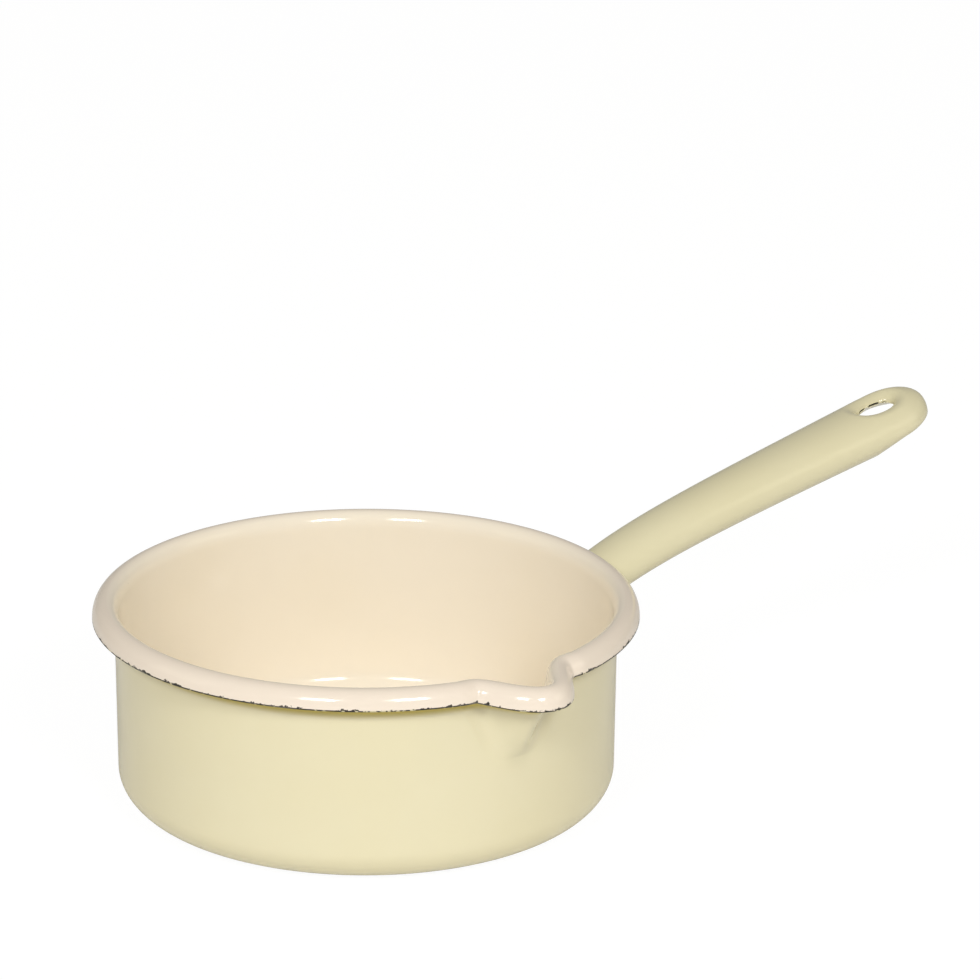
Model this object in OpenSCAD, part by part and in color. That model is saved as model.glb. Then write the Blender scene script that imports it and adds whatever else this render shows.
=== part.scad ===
// Enamelled steel saucepan with a pressed pouring lip and a hollow handle.
// Millimetres. The origin is the middle of the standing face and +Z is up.
// +X runs along the handle, and the pouring lip points along -Y.

/* [Vessel] */
// Radius of the wall over its enamel, just under the rim
wall_r = 81.5; // [60:0.1:110]
// Height from the floor to the crown of the rim
height = 69.05; // [45:0.05:120]
// How much smaller the wall's radius is at the foot
wall_draft = 0.6; // [0:0.05:3]
// Rounded corner at the foot, along the floor
corner_w = 15.5; // [6:0.1:30]
// Rounded corner at the foot, up the wall
corner_h = 12.3; // [5:0.1:30]
// Thickness of the pressed sheet steel
sheet = 0.9; // [0.6:0.05:1.5]
// Thickness of one cover coat of enamel
enamel = 0.25; // [0.15:0.05:0.5]

/* [Rim] */
// How far the rolled rim stands out beyond the wall
rim_out = 7.15; // [3:0.05:12]
// How far out from the wall the rim's crown lies
rim_crown = 2.37; // [1.5:0.05:6]
// Drop from the crown to the widest line of the rim
rim_drop = 5.74; // [3:0.05:10]
// Depth of the steel edge below the widest line
edge_depth = 0.7; // [0.3:0.05:2]
// Depth of the bare ground coat under the steel edge
edge_cap = 0.3; // [0.15:0.05:0.8]

/* [Pouring lip] */
// How far the lip stands out beyond the round rim
lip_out = 14.3; // [6:0.1:25]
// Half the angle that the lip takes from the round rim
lip_angle = 15.4; // [8:0.1:28]
// How much the rim sinks at the lip
lip_sink = 1.6; // [0:0.1:5]
// Height of the lip's crease, measured down from the rim's crown
lip_reach = 30.5; // [15:0.1:45]
// Strength of the inward waves on both sides of the lip
lip_wave = 1.4; // [0:0.05:3]
// Narrowness of the crease's foot, as a share of the lip's angle
lip_foot_share = 0.3; // [0.15:0.05:1]

/* [Handle] */
// Length of the handle from the wall to its tip
handle_len = 153.6; // [110:0.1:220]
// Drop from the rim's crown to the handle's parting line at the wall
root_drop = 20.85; // [15:0.05:40]
// Steady climb of the handle, per unit of length
climb = 0.204; // [0:0.001:0.5]
// Extra height gained in the bend next to the wall
bend_rise = 9.69; // [0:0.01:20]
// Length over which that bend dies away
bend_len = 21.8; // [8:0.1:50]
// Half the handle's width at the wall
root_half_w = 9.78; // [7:0.01:14]
// Half the handle's width at its broad end
end_half_w = 13.2; // [9:0.01:18]
// Half the handle's thickness at the wall
root_half_t = 7.06; // [5:0.01:10]
// Half the handle's thickness at its broad end
end_half_t = 8.74; // [6:0.01:12]
// Length of the rounded tip
tip_len = 15.7; // [8:0.1:25]
// Length of the sloping underside at the end
slope_len = 28.7; // [15:0.1:45]
// Half thickness left under the parting line at the tip
tip_half_t = 1.4; // [1.2:0.05:4]
// Radius of the weld between handle and wall
weld = 2.4; // [1:0.1:5]

/* [Hanging eye] */
// Distance of the eye's middle from the tip
eye_back = 18.9; // [12:0.1:30]
// Half the eye's length
eye_half_l = 7.6; // [4:0.1:10]
// Half the eye's width
eye_half_w = 4.5; // [3:0.1:8]
// How pointed the eye is towards the pan
eye_point_share = 0.05; // [0:0.05:0.4]
// Height of the seam inside the eye, above the parting line
eye_seam_h = 4.8; // [1:0.1:7]
// Width of that seam
seam_w = 0.4; // [0.2:0.05:0.8]
// Height of the steep step of the dish, just above the seam
dish_step = 0.7; // [0.2:0.1:1.5]
// Rise of the dish beyond that step, per unit of width
dish_slope = 0.5; // [0.3:0.01:1]
// Depth under the parting line where the hollow below the eye is at its widest
hollow_rim = 0.6; // [0.3:0.1:2]

/* [Colours] */
steel_colour = "silver";
cream_colour = "antiquewhite";
yellow_colour = "palegoldenrod";
ground_colour = "dimgray";

/* [Hidden] */
$fn = 96;
quarter = 90;
half_turn = 180;
full_turn = 360;
corner_steps = 8;
wall_steps = 7;
arch_steps = 6;
lip_steps = 22;
plain_steps = 5;
handle_rings = 26;
ring_points = 32;
eye_points = 28;
dish_steps = 8;
weld_steps = 5;

core = sheet + enamel;
steel_r = wall_r - enamel;
foot_r = steel_r - wall_draft;
corner_steel_w = corner_w - enamel;
corner_steel_h = corner_h - enamel;
flat_r = foot_r - corner_steel_w;
crown_r = wall_r + rim_crown;
widest_z = height - rim_drop;
edge_z = widest_z - edge_depth;
arch_in = crown_r - steel_r;
arch_out = rim_out - rim_crown - core;
arch_up = rim_drop - core;
lip_z = height - lip_reach;
lip_wall = widest_z - lip_z;
lip_mid = quarter / 2;
plain_angle = lip_mid - lip_angle;

handle_x = wall_r;
root_z = height - root_drop;
tip_x = wall_r + handle_len;
full_share = 0.87;
full_x = handle_x + full_share * handle_len;
width_power = 1.5;
thick_power = 0.6;
section_power = 2.1;
tip_power = 2.8;
ring_power = 1.6;
root_bury_share = 0.11;
handle_start = handle_x - root_bury_share * wall_r;
eye_x = tip_x - eye_back;
seam_recess_share = 0.5;
seam_recess = seam_recess_share * enamel;
seam_low = eye_seam_h - seam_w / 2;
seam_high = eye_seam_h + seam_w / 2;

dish_reach_share = 1.3;
dish_reach = dish_reach_share * end_half_t;
dish_round_share = 0.7;
dish_round = dish_round_share * dish_step;
dish_length_share = 0.6;
dish_wall = sheet * norm([1, dish_slope]) / dish_slope;

hollow_gap = 0.15;
hollow_back = eye_back - tip_len;
hollow_inner = 2 * sheet + hollow_gap;
hollow_slope = seam_low / (end_half_w - hollow_inner - eye_half_w);
hollow_wall = sheet * norm([1, hollow_slope]) / hollow_slope;

// Stations along the sheet: radius, height, and the direction towards the cream side.

function unit(a, b) = [a, b] / norm([a, b]);

function station(r, z, n) = [r, z, n[0], n[1]];

function corner_at(a) = station(
  flat_r + corner_steel_w * sin(a),
  corner_h - corner_steel_h * cos(a),
  unit(-sin(a) / corner_steel_w, cos(a) / corner_steel_h));

function wall_at(z) = station(
  foot_r + wall_draft * (z - corner_h) / (widest_z - corner_h),
  z,
  [-1, 0]);

function arch_in_at(a) = station(
  crown_r - arch_in * cos(a),
  widest_z + arch_up * sin(a),
  unit(-cos(a) / arch_in, sin(a) / arch_up));

function arch_out_at(a) = station(
  crown_r + arch_out * sin(a),
  widest_z + arch_up * cos(a),
  unit(sin(a) / arch_out, cos(a) / arch_up));

function edge_at(z) = station(crown_r + arch_out, z, [1, 0]);

floor_path = [station(0, enamel, [0, 1])];

corner_path = [for (i = [0:corner_steps]) corner_at(quarter * i / corner_steps)];

lip_path = concat(
  [for (i = [0:wall_steps]) wall_at(lip_z + lip_wall * i / wall_steps)],
  [for (i = [1:arch_steps]) arch_in_at(quarter * i / arch_steps)],
  [for (i = [1:arch_steps]) arch_out_at(quarter * i / arch_steps)]);

edge_path = [edge_at(edge_z)];

// Distance of a layer's face from the crown's circle, and its height.
function across(s, d) = s[0] + d * s[2] - crown_r;

function level(s, d) = s[1] + d * s[3];

// A layer's outline in the plane through the axis, as pairs of a station and a distance.
function layer(path, d0, d1) = concat(
  [for (s = path) [s, d1]],
  [for (i = [len(path) - 1:-1:0]) [path[i], d0]]);

function outline(pairs) = [for (p = pairs) [crown_r + across(p[0], p[1]), level(p[0], p[1])]];

// The lip swells the crown's circle, and every layer keeps its distance from that curve.

function clamp(v) = max(0, min(1, v));

function lip_depth(z) = clamp((z - lip_z) / lip_wall);

function lip_width(z) = lip_angle * (lip_foot_share + (1 - lip_foot_share) * lip_depth(z));

function swell(x) = abs(x) < 1 ? pow(1 - x * x, 2) * (1 - lip_wave * x * x) : 0;

function swell_slope(x) = abs(x) < 1
  ? -4 * x * (1 - x * x) * (1 - lip_wave * x * x) - 2 * lip_wave * x * pow(1 - x * x, 2)
  : 0;

function sink(a) = let(x = (a - lip_mid) / lip_angle) abs(x) < 1 ? pow(1 - x * x, 2) : 0;

function lip_point(a, s, d) =
  let(
    k = lip_depth(s[1]),
    w = lip_width(s[1]),
    x = (a - lip_mid) / w,
    r = crown_r + lip_out * k * swell(x),
    slope = lip_out * k * swell_slope(x) * half_turn / PI / w,
    o = across(s, d),
    n = norm([r, slope])
  )
  slope == 0 && r == crown_r
    ? [(crown_r + o) * cos(a), (crown_r + o) * sin(a), level(s, d) - lip_sink * k * sink(a)]
    : [
      r * cos(a) + o * (r * cos(a) + slope * sin(a)) / n,
      r * sin(a) + o * (r * sin(a) - slope * cos(a)) / n,
      level(s, d) - lip_sink * k * sink(a)
    ];

lip_stops = concat(
  [for (i = [0:plain_steps - 1]) plain_angle * i / plain_steps],
  [for (i = [0:lip_steps]) plain_angle + 2 * lip_angle * i / lip_steps],
  [for (i = [1:plain_steps]) plain_angle + 2 * lip_angle + plain_angle * i / plain_steps]);

// The quarter of a layer that carries the lip. Points on the axis are shared by all stops.
module lip_quarter(pairs) {
  n = len(pairs);
  m = len(lip_stops);
  points = [for (a = lip_stops) for (p = pairs) lip_point(a, p[0], p[1])];
  function at(j, i) = pairs[i % n][0][0] == 0 ? i % n : j * n + i % n;
  function real(f) = f[0] != f[1] && f[1] != f[2] && f[2] != f[0];
  sides = concat(
    [for (j = [0:m - 2]) for (i = [0:n - 1]) [at(j, i), at(j + 1, i), at(j + 1, i + 1)]],
    [for (j = [0:m - 2]) for (i = [0:n - 1]) [at(j, i), at(j + 1, i + 1), at(j, i + 1)]]);
  ends = concat(
    [for (i = [0:n / 2 - 2]) [at(0, i), at(0, i + 1), at(0, n - 2 - i)]],
    [for (i = [0:n / 2 - 2]) [at(0, i), at(0, n - 2 - i), at(0, n - 1 - i)]],
    [for (i = [0:n / 2 - 2]) [at(m - 1, i), at(m - 1, n - 2 - i), at(m - 1, i + 1)]],
    [for (i = [0:n / 2 - 2]) [at(m - 1, i), at(m - 1, n - 1 - i), at(m - 1, n - 2 - i)]]);
  polyhedron(points, [for (f = concat(sides, ends)) if (real(f)) f]);
}

// A layer all the way round: three plain quarters and the one with the lip.
module ring(pairs) {
  rotate([0, 0, -half_turn + lip_mid]) {
    rotate([0, 0, quarter])
      rotate_extrude(angle = full_turn - quarter)
        polygon(outline(pairs));
    lip_quarter(pairs);
  }
}

// The handle's spine and half sizes at a distance x from the pan's axis.

function bend(x) = exp(-(x - handle_x) / bend_len);

function spine_z(x) = root_z + climb * (x - handle_x) + bend_rise * (1 - bend(x));

function pitch(x) = atan(climb + bend_rise / bend_len * bend(x));

function grown(x) = clamp((x - handle_x) / (full_x - handle_x));

function half_w(x) = root_half_w + (end_half_w - root_half_w) * pow(grown(x), width_power);

function half_t(x) = root_half_t + (end_half_t - root_half_t) * pow(grown(x), thick_power);

function thinned(x) = clamp((x - tip_x + slope_len) / slope_len);

function half_under(x) = half_t(x) + (tip_half_t - half_t(x)) * thinned(x);

function tip_at(x, d) = clamp((x - tip_x + tip_len) / (tip_len + d));

function round_w(x, d) = sqrt(1 - pow(tip_at(x, d), 2));

function round_t(x, d) = pow(1 - pow(tip_at(x, d), tip_power), 1 / tip_power);

function power_of(v) = sign(v) * pow(abs(v), 2 / section_power);

function handle_point(x, a, d) =
  let(
    under = sin(a) < 0,
    t = (under ? half_under(x) : half_t(x)) + d,
    h = t * round_t(x, d) * power_of(sin(a)),
    w = (half_w(x) + d) * round_w(x, d) * power_of(cos(a)),
    p = pitch(x)
  )
  [x - h * sin(p), w, spine_z(x) + h * cos(p)];

function ring_x(i, d) =
  handle_start + (tip_x + d - handle_start) * (1 - pow(1 - i / handle_rings, ring_power));

function handle_ring(i, d, from, to, n) =
  [for (k = [0:n - 1]) handle_point(ring_x(i, d), from + (to - from) * k / n, d)];

// A solid through equal rings of points, closed by flat ends.
module loft(rings) {
  m = len(rings);
  n = len(rings[0]);
  points = [for (r = rings) for (p = r) p];
  function at(j, k) = j * n + k % n;
  polyhedron(points, concat(
    [[for (k = [0:n - 1]) at(0, k)]],
    [[for (k = [n - 1:-1:0]) at(m - 1, k)]],
    [for (j = [0:m - 2]) for (k = [0:n - 1]) [at(j, k), at(j + 1, k + 1), at(j, k + 1)]],
    [for (j = [0:m - 2]) for (k = [0:n - 1]) [at(j, k), at(j + 1, k), at(j + 1, k + 1)]]));
}

// The same with its last ring drawn together in one point.
module pointed_loft(rings, tip) {
  m = len(rings);
  n = len(rings[0]);
  points = concat([for (r = rings) for (p = r) p], [tip]);
  function at(j, k) = j * n + k % n;
  polyhedron(points, concat(
    [[for (k = [0:n - 1]) at(0, k)]],
    [for (k = [0:n - 1]) [at(m - 1, k), m * n, at(m - 1, k + 1)]],
    [for (j = [0:m - 2]) for (k = [0:n - 1]) [at(j, k), at(j + 1, k + 1), at(j, k + 1)]],
    [for (j = [0:m - 2]) for (k = [0:n - 1]) [at(j, k), at(j + 1, k), at(j + 1, k + 1)]]));
}

function tip_point(d) = [tip_x + d, 0, spine_z(tip_x + d)];

module handle_form(d) {
  pointed_loft(
    [for (i = [0:handle_rings - 1]) handle_ring(i, d, 0, full_turn, ring_points)],
    tip_point(d));
}

function half_ring(i, d, from) =
  [for (k = [0:ring_points / 2]) handle_point(ring_x(i, d), from + full_turn * k / ring_points, d)];

module handle_half(from) {
  pointed_loft([for (i = [0:handle_rings - 1]) half_ring(i, 0, from)], tip_point(0));
}

// The wall's steel face, which the handle is trimmed to.
module wall_core(over) {
  translate([0, 0, corner_h])
    cylinder(r1 = foot_r + over, r2 = steel_r + over, h = widest_z - corner_h);
}

// The eye: outlines in planes along the parting line, stacked along its normal.

function oval(middle, half_l, half_w, h) = [
  for (k = [0:eye_points - 1])
    let(a = full_turn * k / eye_points)
      [middle + half_l * cos(a), half_w * sin(a) * (1 + eye_point_share * cos(a)), h]
];

function eye_outline(along, side, h) = oval(0, eye_half_l + along, eye_half_w + side, h);

function hollow_outline(inset, h) = oval(hollow_back, tip_len - inset, end_half_w - inset, h);

module in_eye_frame() {
  translate([eye_x, 0, spine_z(eye_x)])
    rotate([0, -pitch(eye_x), 0])
      children();
}

function dish_rise(g) = dish_slope * g + dish_step * (1 - exp(-g / dish_round));

module eye_dish(grow) {
  in_eye_frame()
    loft([
      for (i = [0:dish_steps])
        let(g = dish_reach * pow(i / dish_steps, 2))
          eye_outline(
            grow + dish_length_share * g,
            grow + g,
            seam_high + dish_rise(g))
    ]);
}

module eye_hollow(wall, grow) {
  in_eye_frame()
    loft([
      hollow_outline(sheet - grow, -2 * end_half_t),
      hollow_outline(sheet - grow, -hollow_rim),
      hollow_outline(hollow_inner - grow, 0),
      eye_outline(wall, wall, seam_low)
    ]);
}

module eye_band(grow, low, high) {
  in_eye_frame()
    loft([eye_outline(grow, grow, low), eye_outline(grow, grow, high)]);
}

bowl_path = concat(corner_path, lip_path);

module vessel() {
  color(steel_colour)
    ring(layer(concat(floor_path, bowl_path, edge_path), 0, sheet));
}

module lining() {
  color(cream_colour)
    ring(layer(concat(floor_path, bowl_path), sheet, core));
}

module coat() {
  color(yellow_colour)
    difference() {
      ring(layer(concat(bowl_path, edge_path), -enamel, 0));
      handle_form(enamel);
    }
}

module foot_coat() {
  color(yellow_colour)
    cylinder(r = flat_r, h = enamel);
}

module rim_edge() {
  low = edge_at(edge_z - edge_cap);
  color(ground_colour)
    ring([
      [edge_at(widest_z), core],
      [low, core],
      [low, -enamel],
      [edge_at(edge_z), -enamel],
      [edge_at(edge_z), sheet],
      [edge_at(widest_z), sheet]
    ]);
}

module handle_top() {
  color(steel_colour)
    difference() {
      handle_half(0);
      difference() {
        handle_form(-sheet);
        eye_dish(dish_wall);
      }
      eye_dish(0);
      eye_band(0, 0, seam_high + seam_w);
      wall_core(0);
    }
}

module handle_bottom() {
  color(steel_colour)
    difference() {
      union() {
        difference() {
          handle_half(half_turn);
          handle_form(-sheet);
        }
        intersection() {
          handle_form(0);
          eye_hollow(hollow_wall, sheet);
        }
      }
      eye_hollow(0, 0);
      eye_band(0, 0, seam_low + seam_w);
      wall_core(0);
    }
}

module handle_coat() {
  color(yellow_colour)
    difference() {
      handle_form(enamel);
      difference() {
        handle_form(0);
        eye_dish(0);
        eye_hollow(0, 0);
        eye_band(0, seam_low - seam_w, seam_high + seam_w);
      }
      eye_dish(-enamel);
      eye_hollow(-enamel, -enamel);
      eye_band(seam_recess, seam_low, seam_high);
      eye_band(-enamel, seam_low - seam_w, seam_high + seam_w);
      wall_core(0);
    }
}

module root_weld() {
  color(yellow_colour)
    difference() {
      loft(concat(
        [handle_ring(0, enamel + weld, 0, full_turn, ring_points)],
        [
          for (i = [0:weld_steps])
            let(u = i / weld_steps)
              [
                for (k = [0:ring_points - 1])
                  handle_point(
                    handle_x - weld / 2 + 2 * weld * u,
                    full_turn * k / ring_points,
                    enamel + weld * (1 - sqrt(1 - pow(1 - u, 2))))
              ]
        ]));
      handle_form(enamel);
      wall_core(enamel);
    }
}

module eye_seam() {
  color(ground_colour)
    difference() {
      eye_band(sheet, seam_low, seam_high);
      eye_band(seam_recess, seam_low - seam_w, seam_high + seam_w);
    }
}

vessel();
lining();
coat();
foot_coat();
rim_edge();
handle_top();
handle_bottom();
handle_coat();
root_weld();
eye_seam();
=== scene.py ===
import math

import bmesh
import bpy
import numpy as np
from mathutils import Matrix, Vector


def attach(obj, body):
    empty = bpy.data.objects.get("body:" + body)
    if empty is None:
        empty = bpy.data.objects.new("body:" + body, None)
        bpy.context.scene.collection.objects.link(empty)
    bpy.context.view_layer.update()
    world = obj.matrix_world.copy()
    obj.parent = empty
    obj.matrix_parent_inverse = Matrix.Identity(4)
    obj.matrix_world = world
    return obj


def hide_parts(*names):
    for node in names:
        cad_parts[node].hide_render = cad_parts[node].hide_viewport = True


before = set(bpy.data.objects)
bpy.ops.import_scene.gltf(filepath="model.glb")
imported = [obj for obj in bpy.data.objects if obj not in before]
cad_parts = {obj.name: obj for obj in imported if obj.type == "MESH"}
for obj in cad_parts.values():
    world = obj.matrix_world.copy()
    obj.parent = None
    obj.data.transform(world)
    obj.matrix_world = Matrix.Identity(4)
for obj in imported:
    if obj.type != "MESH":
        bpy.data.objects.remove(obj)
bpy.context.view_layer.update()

MM = 0.001
PER_MM = 1000.0

# Sizes in millimetres. They are those of the part's source, but for the pouring lip and
# the handle's half sizes and sloping end, which follow the photo a little closer here.
WALL_R, HEIGHT, WALL_DRAFT = 81.5, 69.05, 0.6
CORNER_W, CORNER_H = 15.5, 12.3
SHEET, ENAMEL = 0.9, 0.25
RIM_OUT, RIM_CROWN, RIM_DROP, EDGE_DEPTH = 7.15, 2.37, 5.74, 0.7
LIP_OUT, LIP_ANGLE, LIP_SINK, LIP_REACH = 14.05, math.radians(15.9), 1.72, 30.5
LIP_WAVE, LIP_FOOT, LIP_LIFT = 2.3, 0.45, 0.71
HANDLE_LEN, ROOT_Z, CLIMB, BEND_RISE, BEND_LEN = 153.6, 48.2, 0.204, 9.69, 21.8
ROOT_HALF_W, END_HALF_W, ROOT_HALF_T, END_HALF_T = 9.6, 12.9, 7.0, 8.45
TIP_LEN, SLOPE_LEN, TIP_HALF_T, WELD = 15.7, 27.6, 1.9, 2.4
EYE_BACK, EYE_HALF_L, EYE_HALF_W, EYE_POINT = 18.9, 7.6, 4.5, 0.05
EYE_SEAM_H, SEAM_W, DISH_STEP, DISH_SLOPE, HOLLOW_RIM = 4.8, 0.4, 0.7, 0.5, 0.6

CORE = SHEET + ENAMEL
STEEL_R = WALL_R - ENAMEL
FOOT_R = STEEL_R - WALL_DRAFT
CORNER_STEEL_W, CORNER_STEEL_H = CORNER_W - ENAMEL, CORNER_H - ENAMEL
FLAT_R = FOOT_R - CORNER_STEEL_W
CROWN_R = WALL_R + RIM_CROWN
WIDEST_Z = HEIGHT - RIM_DROP
EDGE_Z = WIDEST_Z - EDGE_DEPTH
ARCH_IN, ARCH_OUT = CROWN_R - STEEL_R, RIM_OUT - RIM_CROWN - CORE
ARCH_UP = RIM_DROP - CORE
LIP_Z = HEIGHT - LIP_REACH
TIP_X = WALL_R + HANDLE_LEN
EYE_X = TIP_X - EYE_BACK
SEAM_LOW, SEAM_HIGH = EYE_SEAM_H - SEAM_W / 2, EYE_SEAM_H + SEAM_W / 2
HOLLOW_BACK = EYE_BACK - TIP_LEN

# Rows of the bowl's section, doubled on a side that shows.
FLOOR_ROWS, FOOT_ROWS, LOW_ROWS, WALL_ROWS, ARCH_ROWS = 6, 10, 2, 12, 8
# Depth, height and spread of the glaze that stands in the corner inside the foot.
POOL_DEPTH, POOL_Z, POOL_SPREAD = 1.1, 6.0, 4.0
# Under the rim's widest line: where the coat ends and the dark line ends, and its bevel.
COAT_END, LINE_END, LINE_BEVEL = 0.35, 0.47, 0.1
# The vessel's steel is drawn this much short of its outer and of its inner face, so that
# it never comes through the enamel where the lip bends it.
STEEL_OUT, STEEL_IN = 0.1, 0.25

# The share of its length at which the handle reaches its full width.
FULL_SHARE = 0.87
FULL_X = WALL_R + FULL_SHARE * HANDLE_LEN
# Powers by which its width and its thickness grow, and those of the ovals that its tip,
# seen from the side, and its section follow.
WIDTH_POWER, THICK_POWER, TIP_POWER, SECTION_POWER = 1.5, 0.6, 2.8, 2.1
# Points round the handle, and how far its mesh starts inside the wall's face.
RING, ROOT_SINK = 96, 0.15
# Rows of the handle's mesh: over the weld, along the shaft, beside the eye and past it.
WELD_ROWS, SHAFT_ROWS, EYE_ROWS, END_ROWS = 9, 109, 36, 8
# The rows beside the eye lie from here behind its middle to here ahead of it, and the
# last rows close the tip over this length, at these shares of it.
EYE_ROWS_BACK, EYE_ROWS_AHEAD, TIP_CAP = 19.0, 13.2, 0.55
CAP_SHARES = (0.25, 0.5, 0.75)
# Points of the ring, to both sides of its top or bottom, that the eye's holes take.
UPPER_HOLE, LOWER_HOLE = (-15, 15), (-19, 22)

# The dish grows this share as fast along the handle as to its sides, its rim is rounded
# over this reach, and its step fades over this share of its height.
DISH_LENGTH, DISH_BLEND, STEP_FADE = 0.5, 2.2, 0.7
# The hollow's wall at its rim, what it gains on the near side, and at its neck.
RIM_WALL, NEAR_WALL, NECK_WALL = 0.2, 0.25, 0.95
# On the far side the skin is cut this far in, less this share of the coat.
FAR_CUT, FAR_COAT = 0.13, 0.8
# The least drop from the hollow's widest outline to its edge, the height of the ledge
# inside the edge, what that loses on the far side, and its most as a share of the way up.
EDGE_DROP, LEDGE, FAR_LEDGE, LEDGE_SHARE = 0.05, 0.35, 0.23, 0.9
# How far from its edge the skin begins to round, and how far in the ceiling's corner
# ends, both as shares of the way.
EDGE_SHARE, CEILING_SHARE = 0.06, 0.16
# Rows down the dish and how much closer they lie near the eye, then rows along the skin
# below, round its edge, round the ceiling's corner and along the ceiling, and the shares
# of the way up the hollow's wall at which it has a row.
DISH_ROWS, DISH_CLOSER = 40, 1.9
SKIN_ROWS, EDGE_ROWS, TURN_ROWS, CEILING_ROWS = 7, 5, 7, 17
WALL_SHARES = (0.4, 0.75)
# Both shells turn in at the crack: how far behind the eye's face, and how much.
TURN_IN = ((0.06, 0.1), (0.25, 0.16), (0.8, 0.16))
# The gape from which they turn in fully, and how far the gape works up the dish.
FULL_GAPE, GAPE_FADE = 0.3, 0.5
# The dark band of painted shade in the crack: its depth, how far it goes under the shells, its
# points.
BAND_DEPTH, BAND_UNDER, BAND_STOPS = 0.7, 0.1, 128
# Where the crack inside the eye gapes and where enamel bridges it, by the turn
# round the eye from the tip's side: degrees and millimetres.
GAPE_TURNS = [-180, -60, -36, -20, 0, 18, 24, 41, 46, 50, 55, 84, 88, 99, 103, 122, 130, 180]
GAPE_SIZES = [
    0.3, 0.3, 0.5, 0.55, 0.3, 0.3, 0.7, 0.7, 0.1, 0.1, 1.0, 1.0, 0.0, 0.0, 0.9, 0.9, 0.3, 0.3
]

# An edge sharper than this stays sharp.
SHARP = math.radians(50)

YELLOW = (0.80, 0.735, 0.508, 1.0)
YELLOW_DEEP = (0.785, 0.715, 0.475, 1.0)
# Painted shade under the rim: the dark, saturated tone of the wall in the rim's shadow, where
# light bounces between the yellow wall and the rim.
YELLOW_RIM_SHADE = (0.70, 0.575, 0.15, 1.0)
# The handle's yellow: a darker, less blue copy of the body's yellow enamel, painted shade standing
# in for the shade on the handle's top.
HANDLE_SHADED_YELLOW = (0.765, 0.706, 0.472, 1.0)
HANDLE_SHADED_DEEP = (0.75, 0.686, 0.442, 1.0)
CREAM = (0.935, 0.852, 0.712, 1.0)
CREAM_DEEP = (0.92, 0.83, 0.67, 1.0)
# Cream of the rim, darker than the lining's: partly its thinner enamel over the bead, partly
# painted shade where the rim misses the light that bounces inside the bowl.
CREAM_THIN_SHADED_RIM = (0.865, 0.757, 0.638, 1.0)
DARK = (0.022, 0.019, 0.013, 1.0)
GLAZED = (0.62, 0.56, 0.36, 1.0)
SPECK = (0.30, 0.27, 0.2, 1.0)
COAT_DARK, COAT_GREY, COAT_WORN = (
    (0.012, 0.01, 0.007, 1),
    (0.05, 0.045, 0.034, 1),
    (0.2, 0.185, 0.15, 1),
)
STEEL_DARK, STEEL_LIGHT = (0.16, 0.16, 0.17, 1), (0.34, 0.34, 0.36, 1)
WHITE = (1, 1, 1, 1)

# The camera looks along +Y of a frame of its own, turned this far from the part's.
VIEW_TURN = math.radians(37)
VIEW_RIGHT = (math.cos(VIEW_TURN), -math.sin(VIEW_TURN), 0.0)
# Along the view's right, in millimetres: the middle and the reach of the stretch of rim
# where the glaze runs down nearly over the ground coat.
GLAZED_AT, GLAZED_REACH = 8.0, 17.0
# The camera's place in that frame, its tilt down and its roll. Its focal length is in
# pixels of a picture of that width, and its sensor's width in millimetres.
CAMERA_AT = (0.0399, -1.8235, 0.7382)
CAMERA_DOWN, CAMERA_ROLL = math.radians(19.14), math.radians(0.33)
FOCAL, PICTURE, SENSOR = 6000.0, 980.0, 36.0
AIR, AIR_TINT = 0.355, (1.0, 0.985, 0.93, 1.0)
# Half the paper's side, and how far it lies under the part.
GROUND_REACH, GROUND_DROP = 6.0, 0.00005
# The paper's colour, and the strength and the share of the white glow that only the
# camera sees on it.
PAPER, PAPER_GLOW, PAPER_SHARE = (0.9, 0.9, 0.9, 1), 1.04, 0.92
# The point that the lamps turn to, and for each its direction from there in the camera's
# own frame, its width and height, its distance, its watts and its colour.
AIM = (0, 0, 0.04)
LAMPS = {
    "lamp_left": ((-0.275, -0.79, 0.545), (0.52, 0.45), 2.4, 18.2, (1, 1, 1)),
    "lamp_right": ((0.29, -0.785, 0.545), (0.52, 0.45), 2.4, 18.5, (1, 1, 1)),
    "card_left": ((-0.95, -0.15, 0.40), (1.2, 1.0), 2.2, 2.45, (1, 0.92, 0.72)),
    "card_right": ((0.95, -0.15, 0.40), (1.2, 1.0), 2.2, 3.6, (1, 0.92, 0.72)),
}


class Value:
    """A node's output that takes part in Python expressions."""

    def __init__(self, bench, socket):
        self.bench, self.socket = bench, socket

    def math(self, operation, *others):
        return self.bench.node("ShaderNodeMath", {"operation": operation}, (self, *others))

    def __add__(self, other):
        return self.math("ADD", other)

    def __sub__(self, other):
        return self.math("SUBTRACT", other)

    def __rsub__(self, other):
        return self.bench.node("ShaderNodeMath", {"operation": "SUBTRACT"}, (other, self))

    def __mul__(self, other):
        return self.math("MULTIPLY", other)

    def __truediv__(self, other):
        return self.math("DIVIDE", other)

    __radd__, __rmul__ = __add__, __mul__

    def clamped(self):
        return self.math("MAXIMUM", 0.0).math("MINIMUM", 1.0)

    def above(self, start, gain):
        """How far the value is above start, times gain, held from nought to one."""
        return ((self - start) * gain).clamped()

    def other(self, name):
        return Value(self.bench, self.socket.node.outputs[name])


class Bench:
    """Adds nodes to one tree, of a material or of geometry."""

    def __init__(self, tree):
        self.tree = tree

    def node(self, kind, settings=(), sockets=(), out=0):
        made = self.tree.nodes.new(kind)
        for name, value in dict(settings).items():
            setattr(made, name, value)
        pairs = sockets.items() if isinstance(sockets, dict) else enumerate(sockets)
        for key, value in pairs:
            if isinstance(value, Value):
                self.tree.links.new(value.socket, made.inputs[key])
            else:
                made.inputs[key].default_value = value
        return Value(self, made.outputs[out]) if made.outputs else None


def onward(low, high, count):
    """Evenly spaced values after low, as far as high."""
    return np.linspace(low, high, count + 1)[1:]


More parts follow.
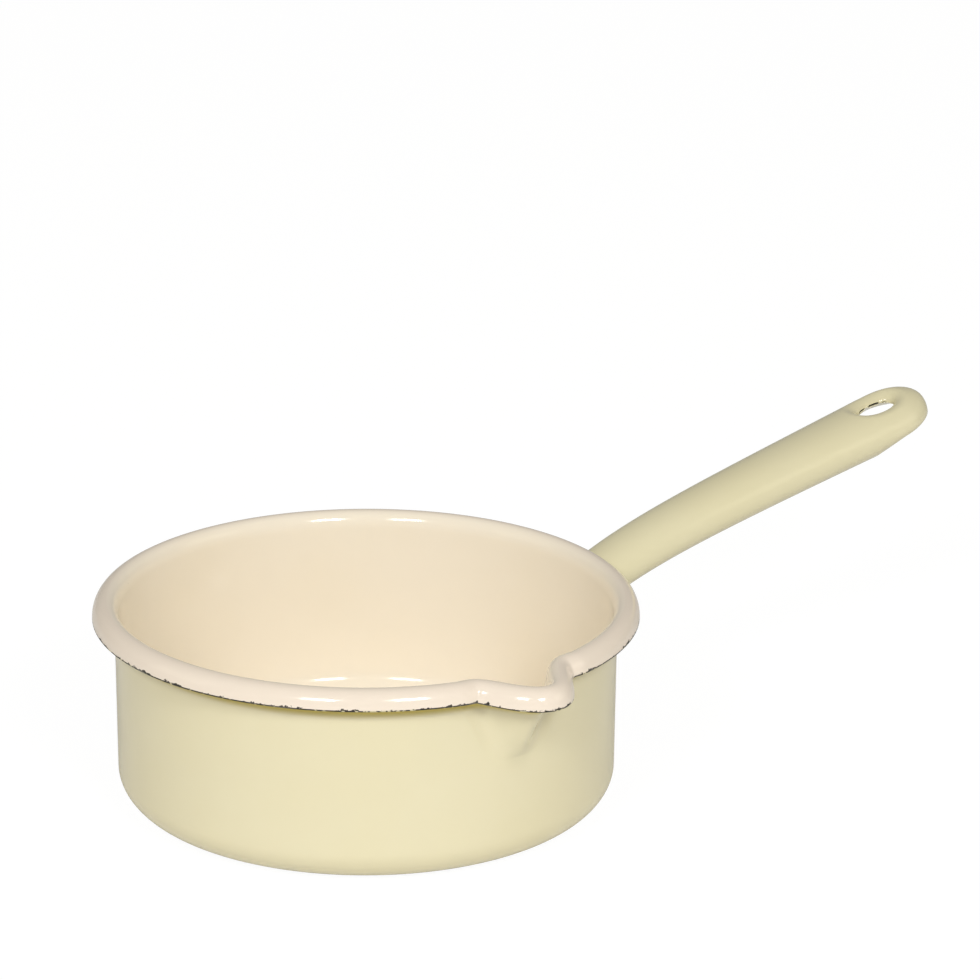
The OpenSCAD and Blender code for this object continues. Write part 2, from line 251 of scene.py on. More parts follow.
def curve(start, pull, end, s):
    """A point of the curve from start to end that pull draws towards itself."""
    return start * (1 - s) ** 2 + pull * 2 * s * (1 - s) + end * s**2


def stations(r, z, nr, nz):
    """Rows of radius, height and the unit direction towards the cream side."""
    r, z, nr, nz = np.broadcast_arrays(*(np.asarray(v, float) for v in (r, z, nr, nz)))
    length = np.hypot(nr, nz)
    return np.stack([r, z, nr / length, nz / length], axis=-1)


def floor_path(count):
    return stations(np.linspace(0, FLAT_R, count, endpoint=False), ENAMEL, 0, 1)


def corner_path(count):
    a = np.linspace(0, math.pi / 2, count)
    return stations(
        FLAT_R + CORNER_STEEL_W * np.sin(a),
        CORNER_H - CORNER_STEEL_H * np.cos(a),
        -np.sin(a) / CORNER_STEEL_W,
        np.cos(a) / CORNER_STEEL_H,
    )


def wall_path(low, high, count):
    z = onward(low, high, count)
    r = FOOT_R + WALL_DRAFT * (z - CORNER_H) / (WIDEST_Z - CORNER_H)
    return stations(r, z, -1, 0)


def arch_path(count):
    a = onward(0, math.pi / 2, count)
    rise = stations(
        CROWN_R - ARCH_IN * np.cos(a),
        WIDEST_Z + ARCH_UP * np.sin(a),
        -np.cos(a) / ARCH_IN,
        np.sin(a) / ARCH_UP,
    )
    fall = stations(
        CROWN_R + ARCH_OUT * np.sin(a),
        WIDEST_Z + ARCH_UP * np.cos(a),
        np.sin(a) / ARCH_OUT,
        np.cos(a) / ARCH_UP,
    )
    return np.concatenate([rise, fall])


def edge_path(z):
    return stations(CROWN_R + ARCH_OUT, z, 1, 0)


def bowl_path(fine):
    """The sheet from the axis to the rim's widest line, finer on a side that shows."""
    return np.concatenate(
        [
            floor_path(FLOOR_ROWS * fine),
            corner_path(FOOT_ROWS * fine),
            wall_path(CORNER_H, LIP_Z, LOW_ROWS * fine),
            wall_path(LIP_Z, WIDEST_Z, WALL_ROWS * fine),
            arch_path(ARCH_ROWS * fine),
        ]
    )


def offset(path, distance):
    """Points of the section, as radius, height and the height of their own station."""
    r, z, nr, nz = np.moveaxis(path, -1, 0)
    return np.stack([r + distance * nr, z + distance * nz, z], axis=-1)


def rim_gap(path):
    """Length along the rim's face from its widest line, and more down the inner wall."""
    r, z = path[:, 0], path[:, 1]
    return np.where(r > CROWN_R, z - WIDEST_Z, RIM_DROP + CROWN_R - r + HEIGHT - z)


def section_mesh(name, rows, gap):
    """A section's points, with what the bowl tree reads about them."""
    mesh = bpy.data.meshes.new(name)
    mesh.vertices.add(len(rows))
    points = np.zeros((len(rows), 3))
    points[:, 0], points[:, 2] = rows[:, 0], rows[:, 1]
    mesh.vertices.foreach_set("co", (points * MM).ravel())
    for label, values in (("sheet_height", rows[:, 2] * MM), ("edge_gap", gap * MM)):
        layer = mesh.attributes.new(label, "FLOAT", "POINT")
        layer.data.foreach_set("value", values.astype(np.float32))
    return mesh


def bowl_tree():
    """Carries a section round the axis and swells it into the pouring lip."""
    tree = bpy.data.node_groups.new("Bowl with a pressed lip", "GeometryNodeTree")
    face = tree.interface
    sizes = {
        "Stops": ("NodeSocketInt", 420),
        "Bunching": ("NodeSocketFloat", 0.86),
        "Crown radius": ("NodeSocketFloat", CROWN_R * MM),
        "Lip out": ("NodeSocketFloat", LIP_OUT * MM),
        "Lip angle": ("NodeSocketFloat", LIP_ANGLE),
        "Lip sink": ("NodeSocketFloat", LIP_SINK * MM),
        "Lip wave": ("NodeSocketFloat", LIP_WAVE),
        "Lip foot": ("NodeSocketFloat", LIP_FOOT),
        "Lip lift": ("NodeSocketFloat", LIP_LIFT * MM),
        "Arch up": ("NodeSocketFloat", ARCH_UP * MM),
        "Crease foot": ("NodeSocketFloat", LIP_Z * MM),
        "Crease top": ("NodeSocketFloat", WIDEST_Z * MM),
        "Finish": ("NodeSocketMaterial", None),
    }
    face.new_socket("Section", in_out="INPUT", socket_type="NodeSocketGeometry")
    for name, (kind, default) in sizes.items():
        socket = face.new_socket(name, in_out="INPUT", socket_type=kind)
        if default is not None:
            socket.default_value = default
    face.new_socket("Piece", in_out="OUTPUT", socket_type="NodeSocketGeometry")
    bench = Bench(tree)
    given = bench.node("NodeGroupInput")
    section = given.other("Section")
    stops, bunching = given.other("Stops"), given.other("Bunching")
    crown, out = given.other("Crown radius"), given.other("Lip out")
    angle, sink = given.other("Lip angle"), given.other("Lip sink")
    wave, foot = given.other("Lip wave"), given.other("Lip foot")
    low, high = given.other("Crease foot"), given.other("Crease top")
    lift, arch = given.other("Lip lift"), given.other("Arch up")

    count = bench.node("GeometryNodeAttributeDomainSize", {"component": "MESH"}, [section])
    grid = bench.node(
        "GeometryNodeMeshGrid",
        sockets={"Vertices X": stops + 1, "Vertices Y": count, "Size X": 1.0, "Size Y": 1.0},
    )
    index = bench.node("GeometryNodeInputIndex")
    column = ((index + 0.5) / count).math("FLOOR")
    row = index - column * count

    def sampled(kind, value):
        return bench.node(
            "GeometryNodeSampleIndex",
            {"data_type": kind, "domain": "POINT"},
            {"Geometry": section, "Value": value, "Index": row},
        )

    def attribute(name):
        return bench.node(
            "GeometryNodeInputNamedAttribute", {"data_type": "FLOAT"}, {"Name": name}
        )

    place = sampled("FLOAT_VECTOR", bench.node("GeometryNodeInputPosition"))
    radius = bench.node("ShaderNodeSeparateXYZ", sockets=[place])
    height = radius.other("Z")
    sheet_height = sampled("FLOAT", attribute("sheet_height"))

    # The turn round the axis, from the lip, with the stops bunched up at the lip.
    share = column / stops - 0.5
    around = share * math.tau
    turn = around - bunching * around.math("SINE")
    # The lip's outline at this height, and how it slopes with the turn.
    depth = ((sheet_height - low) / (high - low)).clamped()
    width = angle * (foot + (1 - foot) * depth)
    x = turn / width
    xx = (x * x).clamped()
    rest = 1 - xx
    waved = 1 - wave * xx
    swell = rest * rest * waved
    slope = x * rest * (-4 * waved - 2 * wave * rest)
    ring = crown + out * depth * swell
    lean = out * depth * slope / width
    # The section's point is set off from that outline, square to it.
    away = (radius - crown) / (ring * ring + lean * lean).math("SQRT")
    azimuth = turn - math.pi / 2
    c, s = azimuth.math("COSINE"), azimuth.math("SINE")
    yy = turn / angle
    dip = 1 - (yy * yy).clamped()
    curl = ((sheet_height - high) / arch).clamped()
    point = bench.node(
        "ShaderNodeCombineXYZ",
        sockets=[
            ring * c + away * (ring * c + lean * s),
            ring * s + away * (ring * s - lean * c),
            height + (lift * curl - sink * depth) * dip * dip,
        ],
    )
    placed = bench.node(
        "GeometryNodeSetPosition", sockets={"Geometry": grid, "Position": point}
    )
    marked = bench.node(
        "GeometryNodeStoreNamedAttribute",
        {"data_type": "FLOAT", "domain": "POINT"},
        {"Geometry": placed, "Name": "edge_gap", "Value": sampled("FLOAT", attribute("edge_gap"))},
    )
    closed = bench.node(
        "GeometryNodeMergeByDistance", sockets={"Geometry": marked, "Distance": 1e-6}
    )
    real = bench.node("GeometryNodeRealizeInstances", sockets=[closed])
    dressed = bench.node(
        "GeometryNodeSetMaterial", sockets={"Geometry": real, "Material": given.other("Finish")}
    )
    bench.node("NodeGroupOutput", sockets=[dressed])
    return tree


def finished(name, mesh, material, nodes):
    """The mesh as a piece of the part, smooth but for its sharp edges."""
    piece = bpy.data.objects.new(name, mesh)
    bpy.context.scene.collection.objects.link(piece)
    work = bmesh.new()
    work.from_mesh(mesh)
    if work.calc_volume(signed=True) < 0:
        bmesh.ops.reverse_faces(work, faces=work.faces)
    for face in work.faces:
        face.smooth = True
    work.to_mesh(mesh)
    work.free()
    mesh.set_sharp_from_angle(angle=SHARP)
    mesh.materials.clear()
    mesh.materials.append(material)
    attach(piece, "root")
    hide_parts(*nodes)


def bowl_piece(name, tree, rows, gap, material, nodes):
    """A closed section, carried round the axis and finished."""
    base = bpy.data.objects.new(name + "_section", section_mesh(name + "_section", rows, gap))
    bpy.context.scene.collection.objects.link(base)
    grow = base.modifiers.new("bowl", "NODES")
    grow.node_group = tree
    keys = {s.name: s.identifier for s in tree.interface.items_tree if s.in_out == "INPUT"}
    grow[keys["Finish"]] = material
    bpy.context.view_layer.update()
    solid = base.evaluated_get(bpy.context.evaluated_depsgraph_get())
    mesh = bpy.data.meshes.new_from_object(solid)
    base.modifiers.remove(grow)
    bpy.data.objects.remove(base)
    mesh.name = name
    finished(name, mesh, material, nodes)


def spine_z(x):
    """Height of the handle's parting line."""
    away = x - WALL_R
    return ROOT_Z + CLIMB * away + BEND_RISE * (1 - np.exp(-away / BEND_LEN))


def pitch(x):
    return np.arctan(CLIMB + BEND_RISE / BEND_LEN * np.exp(-(x - WALL_R) / BEND_LEN))


def half_sizes(x, d):
    """Half width, half thickness above and half thickness below the parting line."""
    grown = np.clip((x - WALL_R) / (FULL_X - WALL_R), 0, 1)
    w = ROOT_HALF_W + (END_HALF_W - ROOT_HALF_W) * grown**WIDTH_POWER
    t = ROOT_HALF_T + (END_HALF_T - ROOT_HALF_T) * grown**THICK_POWER
    under = t + (TIP_HALF_T - t) * np.clip((x - TIP_X + SLOPE_LEN) / SLOPE_LEN, 0, 1)
    q = np.clip((x - TIP_X + TIP_LEN) / (TIP_LEN + d), 0, 1)
    thin = (1 - q**TIP_POWER) ** (1 / TIP_POWER)
    return (w + d) * np.sqrt(1 - q**2), (t + d) * thin, (under + d) * thin


def rounded(v):
    return np.sign(v) * np.abs(v) ** (2 / SECTION_POWER)


def handle_point(x, a, d):
    """Points of the handle's face at turn a, square to its spine at x."""
    w, t, under = half_sizes(x, d)
    h = np.where(np.sin(a) < 0, under, t) * rounded(np.sin(a))
    p = pitch(x)
    return np.stack(
        [x - h * np.sin(p), w * rounded(np.cos(a)), spine_z(x) + h * np.cos(p)], axis=-1
    )


def eye_oval(t, along, side):
    """The eye's outline in its own plane, grown along the handle and to its sides."""
    return np.stack(
        [
            (EYE_HALF_L + along) * np.cos(t),
            (EYE_HALF_W + side) * np.sin(t) * (1 + EYE_POINT * np.cos(t)),
        ],
        axis=-1,
    )


def hollow_oval(t, inset):
    """The outline of the hollow under the eye, which follows the handle's rounded end."""
    return np.stack(
        [HOLLOW_BACK + (TIP_LEN - inset) * np.cos(t), (END_HALF_W - inset) * np.sin(t)], axis=-1
    )


def eye_out(flat):
    """How much the eye has to grow to its sides to reach a point of its plane."""
    # Found by halving the range from 2 mm inside the eye to 60 mm outside it.
    low, high = np.full(len(flat), -2.0), np.full(len(flat), 60.0)
    for _ in range(44):
        g = (low + high) / 2
        c = flat[:, 0] / (EYE_HALF_L + DISH_LENGTH * g)
        s = flat[:, 1] / ((EYE_HALF_W + g) * (1 + EYE_POINT * np.clip(c, -1, 1)))
        outside = c * c + s * s > 1
        low, high = np.where(outside, g, low), np.where(outside, high, g)
    return (low + high) / 2


def eye_frame(points):
    """Points as length along the spine, width and height over the parting line."""
    p = pitch(EYE_X)
    c, s = math.cos(p), math.sin(p)
    x, y, z = points[..., 0] - EYE_X, points[..., 1], points[..., 2] - spine_z(EYE_X)
    return np.stack([x * c + z * s, y, z * c - x * s], axis=-1)


def part_frame(points):
    """The way back from the eye's frame."""
    p = pitch(EYE_X)
    c, s = math.cos(p), math.sin(p)
    u, w, h = np.moveaxis(points, -1, 0)
    return np.stack([EYE_X + u * c - h * s, w, spine_z(EYE_X) + u * s + h * c], axis=-1)


def blended(a, b, reach):
    """The lower of two heights, with the corner between them rounded over reach."""
    return np.minimum(a, b) - np.maximum(reach - np.abs(a - b), 0) ** 2 / (4 * reach)


def swept(share):
    """A share from nought to one, eased at both ends."""
    share = np.clip(share, 0, 1)
    return share * share * (3 - 2 * share)


def skin_height(flat, side, d):
    """Height of the handle's plain face over the parting plane, above it or below it."""
    u, w = flat[:, 0], flat[:, 1]
    p = pitch(EYE_X)
    h = np.zeros(len(u))
    # The face leans with the spine, so the height is found in a few rounds.
    for _ in range(6):
        x = EYE_X + u * math.cos(p) - h * math.sin(p)
        near = x + h * np.sin(pitch(x))
        half_w, t, under = half_sizes(near, d)
        across = np.clip(np.abs(w) / np.maximum(half_w, 1e-6), 0, 1)
        rise = (1 - across**SECTION_POWER) ** (1 / SECTION_POWER)
        h = side * np.where(side > 0, t, under) * rise
    return h


def dish_height(g):
    fade = STEP_FADE * DISH_STEP
    return SEAM_HIGH + DISH_SLOPE * g + DISH_STEP * (1 - np.exp(-g / fade))


def gape(t):
    turn = np.degrees(np.mod(t + math.pi, math.tau) - math.pi)
    return np.interp(turn, GAPE_TURNS, GAPE_SIZES)


def on_wall(a, reach, d):
    """Where along the spine the handle's face is at that radius from the vessel's axis."""
    x = np.full(len(a), WALL_R)
    for _ in range(12):
        p = handle_point(x, a, d)
        x = x + reach - np.hypot(p[:, 0], p[:, 1])
    return x


def handle_rings(a, d):
    """Rings of the handle's face, and the numbers of those that the eye's holes end at."""
    weld = WELD if d > 0 else 0.0
    rings = [handle_point(on_wall(a, WALL_R - ROOT_SINK, d + weld), a, d + weld)]
    for turn in np.linspace(0, math.pi / 2, WELD_ROWS):
        grow = weld * (1 - math.sin(turn))
        start = on_wall(a, WALL_R + WELD * (1 - math.cos(turn)), d + grow)
        rings.append(handle_point(start, a, d + grow))
    last = TIP_X + d
    back, ahead, close = EYE_X - EYE_ROWS_BACK, EYE_X + EYE_ROWS_AHEAD, last - TIP_CAP
    steps = [start + (back - start) * s for s in onward(0, 1, SHAFT_ROWS)]
    first = len(rings) + len(steps) - 1
    steps += [np.full(RING, x) for x in onward(back, ahead, EYE_ROWS)]
    upper_end = len(rings) + len(steps) - 1
    steps += [np.full(RING, x) for x in onward(ahead, close, END_ROWS)]
    lower_end = len(rings) + len(steps) - 1
    steps += [np.full(RING, last - TIP_CAP * (1 - s) ** 2) for s in CAP_SHARES]
    rings += [handle_point(x, a, d) for x in steps]
    return rings, first, upper_end, lower_end


def handle_mesh(name, d):
    """The handle's closed face at a distance from its steel, from the wall to the pierced end."""
    a = math.tau * np.arange(RING) / RING
    rings, first, upper_end, lower_end = handle_rings(a, d)
    last = TIP_X + d
    points = [p for ring in rings for p in ring]
    points += [
        np.array([WALL_R - ROOT_SINK, 0, np.mean(rings[0][:, 2])]),
        np.array([last, 0, spine_z(last)]),
    ]
    pole_root, pole_tip = len(points) - 2, len(points) - 1

    def at(i, k):
        return i * RING + k % RING

    over, beneath = RING // 4, 3 * RING // 4
    holes = {
        1: (over + UPPER_HOLE[0], over + UPPER_HOLE[1], first, upper_end),
        -1: (beneath + LOWER_HOLE[0], beneath + LOWER_HOLE[1], first, lower_end),
    }
    top = len(rings) - 1
    faces = [(pole_root, at(0, k + 1), at(0, k)) for k in range(RING)]
    faces += [(at(top, k), at(top, k + 1), pole_tip) for k in range(RING)]
    faces += [
        (at(i, k), at(i, k + 1), at(i + 1, k + 1), at(i + 1, k))
        for i in range(top)
        for k in range(RING)
        if not any(f <= i < e and lo <= k < hi for lo, hi, f, e in holes.values())
    ]

    def bridge(one, two):
        n = len(one)
        faces.extend((one[k], one[(k + 1) % n], two[(k + 1) % n], two[k]) for k in range(n))
        return two

    def added(flat, h):
        new = list(range(len(points), len(points) + len(flat)))
        points.extend(part_frame(np.column_stack([flat, np.broadcast_to(h, len(flat))])))
        return new

    def hole_loop(side):
        lo, hi, f, e = holes[side]
        loop = [at(f, k) for k in range(lo, hi)] + [at(i, hi) for i in range(f, e)]
        loop += [at(e, k) for k in range(hi, lo, -1)] + [at(i, lo) for i in range(e, f, -1)]
        return loop, eye_frame(np.array([points[i] for i in loop]))[:, :2]

    # Above: down from the plain skin through the dish to the edge of the crack. The rows
    # lie closer together near the eye.
    loop, outer = hole_loop(1)
    t_upper = np.arctan2(outer[:, 1] / EYE_HALF_W, outer[:, 0] / EYE_HALF_L)
    inner = eye_oval(t_upper, -d, -d)
    lift = gape(t_upper) / 2 - SEAM_W / 2
    for s in (1 - onward(0, 1, DISH_ROWS)) ** DISH_CLOSER:
        flat = inner + (outer - inner) * s
        g = eye_out(flat) + d
        dish = dish_height(g) + lift * np.exp(-g / GAPE_FADE)
        loop = bridge(loop, added(flat, blended(skin_height(flat, 1, d), dish, DISH_BLEND)))
    upper = loop

    # Below: along the skin to the hollow's rim, up its side wall and along its ceiling.
    # Far nears one along the side away from the lip, where the hollow's rim is raised,
    # and near along the lip's side.
    loop, outer = hole_loop(-1)
    t_lower = np.arctan2(outer[:, 1] / END_HALF_W, (outer[:, 0] - HOLLOW_BACK) / TIP_LEN)
    far = swept(np.sin(t_lower) * 1.5) * swept((np.cos(t_lower) + 0.6) * 1.25)
    near = swept(-np.sin(t_lower) * 1.5)
    towards_pan = (0.5 - 0.5 * np.cos(t_lower)) ** 3
    wall = RIM_WALL + (SHEET - RIM_WALL) * towards_pan + NEAR_WALL * near
    rim = hollow_oval(t_lower, wall + d)
    edge = hollow_oval(t_lower, (wall + d) * (1 - far) + (FAR_CUT - FAR_COAT * d) * far)
    edge_h = np.minimum(skin_height(edge, -1, d), -HOLLOW_RIM - EDGE_DROP)
    neck, waist = hollow_oval(t_lower, NECK_WALL + d), eye_oval(t_lower, -d, -d)
    drop = SEAM_W / 2 - gape(t_lower) / 2
    for s in onward(1, EDGE_SHARE, SKIN_ROWS):
        flat = edge + (outer - edge) * s
        loop = bridge(loop, added(flat, skin_height(flat, -1, d)))
    before = edge + (outer - edge) * EDGE_SHARE
    before_h = skin_height(before, -1, d)
    most = (-HOLLOW_RIM - edge_h) * LEDGE_SHARE
    ledge_h = edge_h + np.minimum(LEDGE - FAR_LEDGE * far, most)
    for s in onward(0, 1, EDGE_ROWS):
        level = curve(before_h, edge_h, ledge_h, s)
        loop = bridge(loop, added(curve(before, edge, rim, s), level))
    for s in WALL_SHARES:
        loop = bridge(loop, added(rim, ledge_h + (-HOLLOW_RIM - ledge_h) * s))
    ceiling = neck + (waist - neck) * CEILING_SHARE
    ceiling_h = -HOLLOW_RIM + (SEAM_LOW + HOLLOW_RIM) * CEILING_SHARE
    for s in np.linspace(0, 1, TURN_ROWS):
        level = curve(-HOLLOW_RIM, 0.0, ceiling_h, s)
        loop = bridge(loop, added(curve(rim, neck, ceiling, s), level))
    for s in onward(0, 1, CEILING_ROWS):
        flat = ceiling + (waist - ceiling) * s
        level = ceiling_h + (SEAM_LOW - ceiling_h) * s + drop * s**6
        loop = bridge(loop, added(flat, level))
    lower = loop

    # Both shells turn in a little at the crack, and a groove is left between them.
    groove = []
    for loop, t, edge, sign in ((upper, t_upper, SEAM_HIGH, 1), (lower, t_lower, SEAM_LOW, -1)):
        level = edge + sign * (gape(t) - SEAM_W) / 2
        for g, sink in TURN_IN:
            turn_in = sign * sink * np.minimum(1, gape(t) / FULL_GAPE)
            loop = bridge(loop, added(eye_oval(t, g - d, g - d), level - turn_in))
        groove.append(loop)
    faces.extend(joined(groove[0], t_upper, groove[1], t_lower))
    mesh = bpy.data.meshes.new(name)
    mesh.from_pydata([tuple(p * MM) for p in points], [], faces)
    return mesh


def joined(one, t_one, two, t_two):
    """Triangles between two closed loops, paired by their turn round the eye."""

    def in_order(loop, t):
        turn = np.mod(t, math.tau)
        order = np.argsort(turn)
        return [loop[k] for k in order], turn[order]

    a, ta = in_order(one, t_one)
    b, tb = in_order(two, t_two)
    faces, i, j = [], 0, 0
    while i < len(a) or j < len(b):
        next_a = ta[i + 1] if i + 1 < len(a) else math.tau + ta[0]
        next_b = tb[j + 1] if j + 1 < len(b) else math.tau + tb[0]
        if j >= len(b) or (i < len(a) and next_a <= next_b):
            faces.append((a[i % len(a)], a[(i + 1) % len(a)], b[j % len(b)]))
            i += 1
        else:
            faces.append((b[j % len(b)], a[i % len(a)], b[(j + 1) % len(b)]))
            j += 1
    return faces


def seam_mesh():
    """The dark band in the groove of the eye, painted shade that closes the open crack between the
    shells.
    """
    n = BAND_STOPS
    t = math.tau * np.arange(n) / n
    loops = []
    for g, side in ((0.0, -1), (0.0, 1), (BAND_DEPTH, 1), (BAND_DEPTH, -1)):
        h = EYE_SEAM_H + side * (gape(t) / 2 + BAND_UNDER)
        loops.append(part_frame(np.column_stack([eye_oval(t, g, g), h])))
    faces = [
        (j * n + k, j * n + (k + 1) % n, m * n + (k + 1) % n, m * n + k)
        for j, m in ((0, 1), (1, 2), (2, 3), (3, 0))
        for k in range(n)
    ]
    mesh = bpy.data.meshes.new("eye_crack")
    mesh.from_pydata([tuple(p * MM) for p in np.concatenate(loops)], [], faces)
    return mesh


def material(name):
    made = bpy.data.materials.new(name)
    made.use_nodes = True
    made.node_tree.nodes.clear()
    return made, Bench(made.node_tree)


def object_place(bench):
    return bench.node("ShaderNodeTexCoord", out="Object")


def noise(bench, place, scale, detail=2.0, roughness=0.5):
    return bench.node(
        "ShaderNodeTexNoise",
        sockets={"Vector": place, "Scale": scale, "Detail": detail, "Roughness": roughness},
    )


def mixed(bench, share, one, two):
    """Colour one, turning into colour two with share."""
    # Sockets 6 and 7 are the two colours of a Mix node, and output 2 is the mixed one.
    sockets = {"Factor": share, 6: one, 7: two}
    return bench.node("ShaderNodeMix", {"data_type": "RGBA"}, sockets, out=2)


def bumped(bench, strength, distance, height):
    sockets = {"Strength": strength, "Distance": distance, "Height": height}
    return bench.node("ShaderNodeBump", sockets=sockets)


def shaded(bench, colour, rough, bump, **plain):
    """Ends the material in one shader, with plain numbers on its other sockets."""
    sockets = {"Base Color": colour, "Roughness": rough, "Normal": bump}
    sockets.update({name.replace("_", " "): number for name, number in plain.items()})
    shader = bench.node("ShaderNodeBsdfPrincipled", sockets=sockets)
    bench.node("ShaderNodeOutputMaterial", sockets=[shader])


def glazed_front(bench, place):
    """One where the glaze runs down nearly over the ground coat, beside the lip."""
    along = bench.node(
        "ShaderNodeVectorMath", {"operation": "DOT_PRODUCT"}, [place, VIEW_RIGHT], out="Value"
    )
    away = along * PER_MM - GLAZED_AT
    return (1 - away.math("ABSOLUTE") / GLAZED_REACH).clamped()


def enamel(name, colour, deep, edge=None, reach=None, ground=None):
    """Glossy fired enamel, uneven in depth. Edge is a darker tone within reach of its edge:
    painted shade there, and on the cream rim also its thinner enamel.
    Ground, given only with edge, is the tone that it bares in spots right there."""
    made, bench = material(name)
    place = object_place(bench)
    shade = mixed(bench, noise(bench, place, 22.0, 3.0).above(0.42, 2.2), colour, deep)
    if edge:
        gap = bench.node("ShaderNodeAttribute", {"attribute_name": "edge_gap"}, out="Fac")
        gap = gap * PER_MM
        full, none = reach
        # Painted shade within reach of the edge.
        shade = mixed(bench, ((none - gap) / (none - full)).clamped(), shade, edge)
    speck = bench.node(
        "ShaderNodeTexVoronoi", {"feature": "F1"}, {"Vector": place, "Scale": 95.0}
    )
    pick = noise(bench, place, 31.0, 1.0).above(0.6, 12.0)
    spot = (1 - speck * 26.0).clamped() * pick
    shade = mixed(bench, spot * 0.3, shade, SPECK)
    rough = 0.09 + 0.05 * noise(bench, place, 60.0, 2.0)
    if ground:
        fine = noise(bench, place, 620.0, 2.0, 0.7)
        slow = noise(bench, place, 130.0, 1.0)
        cover = gap + 0.02 + (fine - 0.5) * 2.6 + (slow - 0.5) * 1.6
        bare = (0.5 - (cover + 0.35 * glazed_front(bench, place)) * 6.0).clamped()
        shade = mixed(bench, bare, shade, ground)
        rough = rough + bare * 0.4
    peel = noise(bench, place, 240.0, 2.0)
    wave = noise(bench, place, 45.0, 1.0)
    shaded(bench, shade, rough, bumped(bench, 0.04, 0.001, peel * 0.3 + wave), IOR=1.5)
    return made


def ground_coat(name, glazed=None):
    """The dark first coat where the glaze has drawn back from an edge, with drips of
    the glazed tone where one is given. In the eye's crack it is painted shade."""
    made, bench = material(name)
    place = object_place(bench)
    grain = noise(bench, place, 420.0, 3.0, 0.6)
    patch = noise(bench, place, 120.0, 2.0)
    shade = mixed(bench, grain.above(0.35, 2.5), COAT_DARK, COAT_GREY)
    shade = mixed(bench, patch.above(0.56, 5.0), shade, COAT_WORN)
    if glazed:
        drips = noise(bench, place, 640.0, 1.0) + 0.16 * glazed_front(bench, place)
        shade = mixed(bench, drips.above(0.6, 14.0), shade, glazed)
    shaded(bench, shade, 0.45 + grain * 0.3, bumped(bench, 0.3, 0.0003, grain))
    return made


def pressed_steel(name):
    """Pickled sheet, uneven in tone."""
    made, bench = material(name)
    scale = noise(bench, object_place(bench), 180.0, 4.0, 0.6)
    shade = mixed(bench, scale, STEEL_DARK, STEEL_LIGHT)
    bump = bumped(bench, 0.2, 0.0002, scale)
    shaded(bench, shade, 0.35 + scale * 0.3, bump, Metallic=1.0)
    return made


def lit_air():
    """Soft air light, which the camera sees as white."""
    world = bpy.data.worlds.new("studio_air")
    bpy.context.scene.world = world
    world.use_nodes = True
    world.node_tree.nodes.clear()
    bench = Bench(world.node_tree)
    path = bench.node("ShaderNodeLightPath")
    air = bench.node("ShaderNodeBackground", sockets=[AIR_TINT, AIR])
    white = bench.node("ShaderNodeBackground", sockets=[WHITE, 1.0])
    both = bench.node("ShaderNodeMixShader", sockets=[path.other("Is Camera Ray"), air, white])
    bench.node("ShaderNodeOutputWorld", sockets=[both])


def paper_ground():
    """The floor: white paper, which the camera sees nearly as bright as the air."""
    mesh = bpy.data.meshes.new("ground")
    side = GROUND_REACH
    corners = [(-side, -side, 0), (side, -side, 0), (side, side, 0), (-side, side, 0)]
    mesh.from_pydata(corners, [], [(0, 1, 2, 3)])
    ground = bpy.data.objects.new("ground", mesh)
    bpy.context.scene.collection.objects.link(ground)
    ground.location = (0, 0, -GROUND_DROP)
    paper, bench = material("white_paper")
    path = bench.node("ShaderNodeLightPath")
    lit = bench.node("ShaderNodeBsdfDiffuse", sockets={"Color": PAPER})
    white = bench.node("ShaderNodeEmission", sockets=[WHITE, PAPER_GLOW])
    share = path.other("Is Camera Ray") * PAPER_SHARE
    both = bench.node("ShaderNodeMixShader", sockets=[share, lit, white])
    bench.node("ShaderNodeOutputMaterial", sockets=[both])
    mesh.materials.append(paper)


def lamps_and_camera():
    """Two soft lamps in front, two warm ones at the sides, and the photo's view."""
    scene = bpy.context.scene
    turn = Matrix.Rotation(-VIEW_TURN, 3, "Z")
    aim = turn @ Vector(AIM)
    for name, (direction, size, away, watts, colour) in LAMPS.items():
        data = bpy.data.lights.new(name, "AREA")
        data.shape, data.energy, data.color = "RECTANGLE", watts, colour
        data.size, data.size_y = size
        lamp = bpy.data.objects.new(name, data)
        scene.collection.objects.link(lamp)
        toward = turn @ Vector(direction).normalized()
        lamp.location = aim + toward * away
        lamp.rotation_euler = toward.to_track_quat("Z", "Y").to_euler()

    lens = bpy.data.cameras.new("camera")
    lens.sensor_width, lens.lens = SENSOR, FOCAL / PICTURE * SENSOR
    lens.clip_start, lens.clip_end = 0.05, 50.0
    camera = bpy.data.objects.new("camera", lens)
    scene.collection.objects.link(camera)
    ahead = turn @ Vector((0, math.cos(CAMERA_DOWN), -math.sin(CAMERA_DOWN)))
    right = turn @ Vector((1, 0, 0))
    level = Matrix((right, right.cross(ahead), -ahead)).transposed()
    camera.matrix_world = (
        Matrix.Translation(turn @ Vector(CAMERA_AT))
        @ (level @ Matrix.Rotation(CAMERA_ROLL, 3, "Z")).to_4x4()
    )
    scene.camera = camera


# The yellow enamel takes full painted shade up to 3.0 mm under the rim's edge, fading out by 4.8
# mm.
yellow = enamel("yellow_enamel", YELLOW, YELLOW_DEEP, YELLOW_RIM_SHADE, (3.0, 4.8))
# The handle's enamel, darkened as painted shade.
shaded_handle_yellow = enamel("handle_yellow_enamel", HANDLE_SHADED_YELLOW, HANDLE_SHADED_DEEP)
# The cream takes the rim's darker tone, thin enamel and painted shade, within 6 mm of the rim's
# widest line, fading out by 9 mm.
cream = enamel("cream_enamel", CREAM, CREAM_DEEP, CREAM_THIN_SHADED_RIM, (6.0, 9.0), DARK)
rim_dark = ground_coat("rim_ground_coat", GLAZED)
# The crack in the eye gets the dark coat as painted shade of the open gap between the shells.
crack_shade = ground_coat("eye_crack_painted_shade")
steel = pressed_steel("pressed_steel")

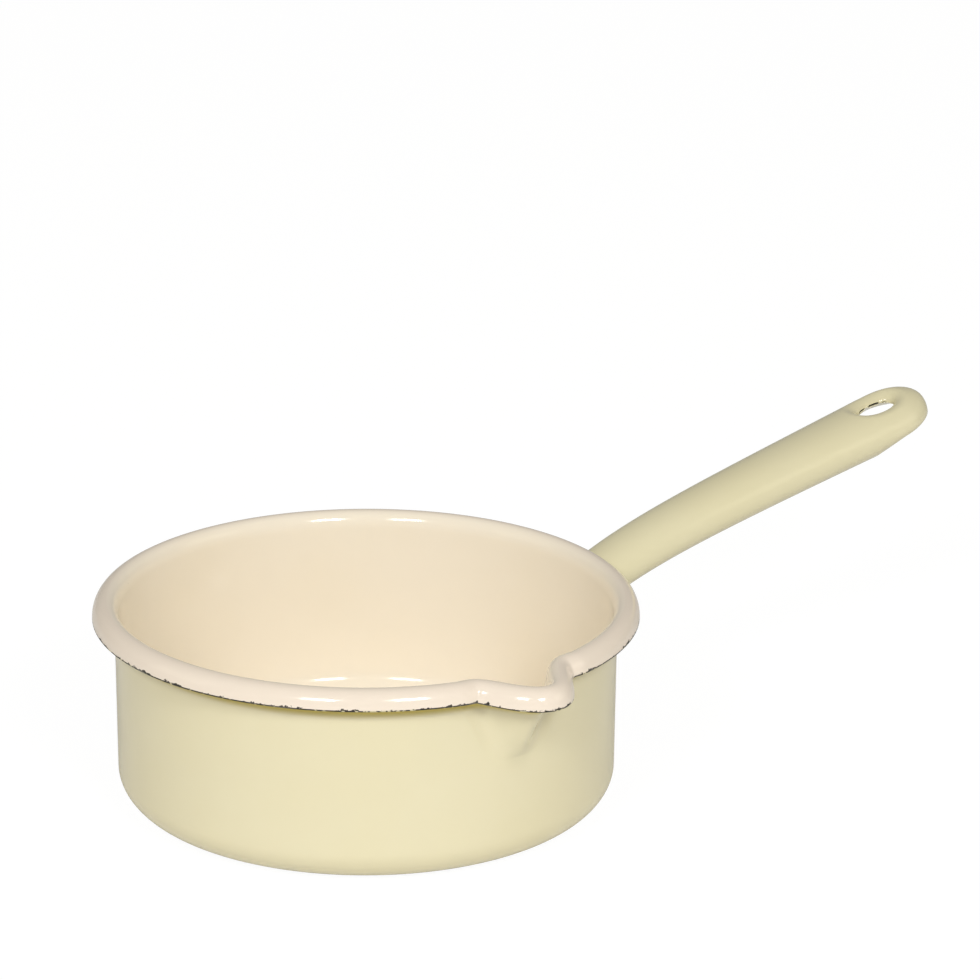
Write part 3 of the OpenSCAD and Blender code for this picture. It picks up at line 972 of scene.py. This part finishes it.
tree = bowl_tree()
front, back = bowl_path(2), bowl_path(1)

# The glaze stands a little thicker in the corner between the floor and the wall.
corner = np.clip((front[:, 0] - FLAT_R) / CORNER_W, 0, 1) * (front[:, 1] < WIDEST_Z)
pooled = POOL_DEPTH * np.exp(-(((front[:, 1] - POOL_Z) / POOL_SPREAD) ** 2)) * corner
rows = np.concatenate([offset(front, CORE + pooled), offset(back, SHEET)[::-1]])
gap = np.concatenate([rim_gap(front), rim_gap(back)[::-1]])
bowl_piece("lining_enamel", tree, rows, gap, cream, ["lining"])

bare_z, low = WIDEST_Z - COAT_END, WIDEST_Z - LINE_END
outer = np.concatenate([front, [edge_path(bare_z)]])
inner = np.concatenate([back, [edge_path(bare_z)]])
rows = np.concatenate([offset(outer, -ENAMEL), offset(inner, 0.0)[::-1]])
# Distance under the rim's edge, over which the yellow fades out of its painted shade.
gap = np.maximum(0, EDGE_Z - rows[:, 1])
bowl_piece("outer_enamel", tree, rows, gap, yellow, ["coat", "foot_coat"])

corners = [
    (WIDEST_Z, CORE),
    (low + LINE_BEVEL, CORE),
    (low, CORE - LINE_BEVEL),
    (low, -ENAMEL),
    (bare_z, -ENAMEL),
    (bare_z, SHEET),
    (WIDEST_Z, SHEET),
    (WIDEST_Z, CORE),
]
rows = np.array([offset(edge_path(z), d) for z, d in corners])
gap = rows[:, 1] - WIDEST_Z
bowl_piece("rim_line", tree, rows, gap, rim_dark, ["rim_edge"])

rows = np.concatenate([offset(inner, SHEET - STEEL_IN), offset(inner, STEEL_OUT)[::-1]])
bowl_piece("vessel_steel", tree, rows, np.zeros(len(rows)), steel, ["vessel"])

mesh = handle_mesh("handle_enamel", ENAMEL)
finished("handle_enamel", mesh, shaded_handle_yellow, ["handle_coat", "root_weld"])
mesh = handle_mesh("handle_steel", 0.0)
finished("handle_steel", mesh, steel, ["handle_top", "handle_bottom"])
finished("eye_crack", seam_mesh(), crack_shade, ["eye_seam"])

bpy.context.scene.view_settings.view_transform = "Standard"
lit_air()
paper_ground()
lamps_and_camera()
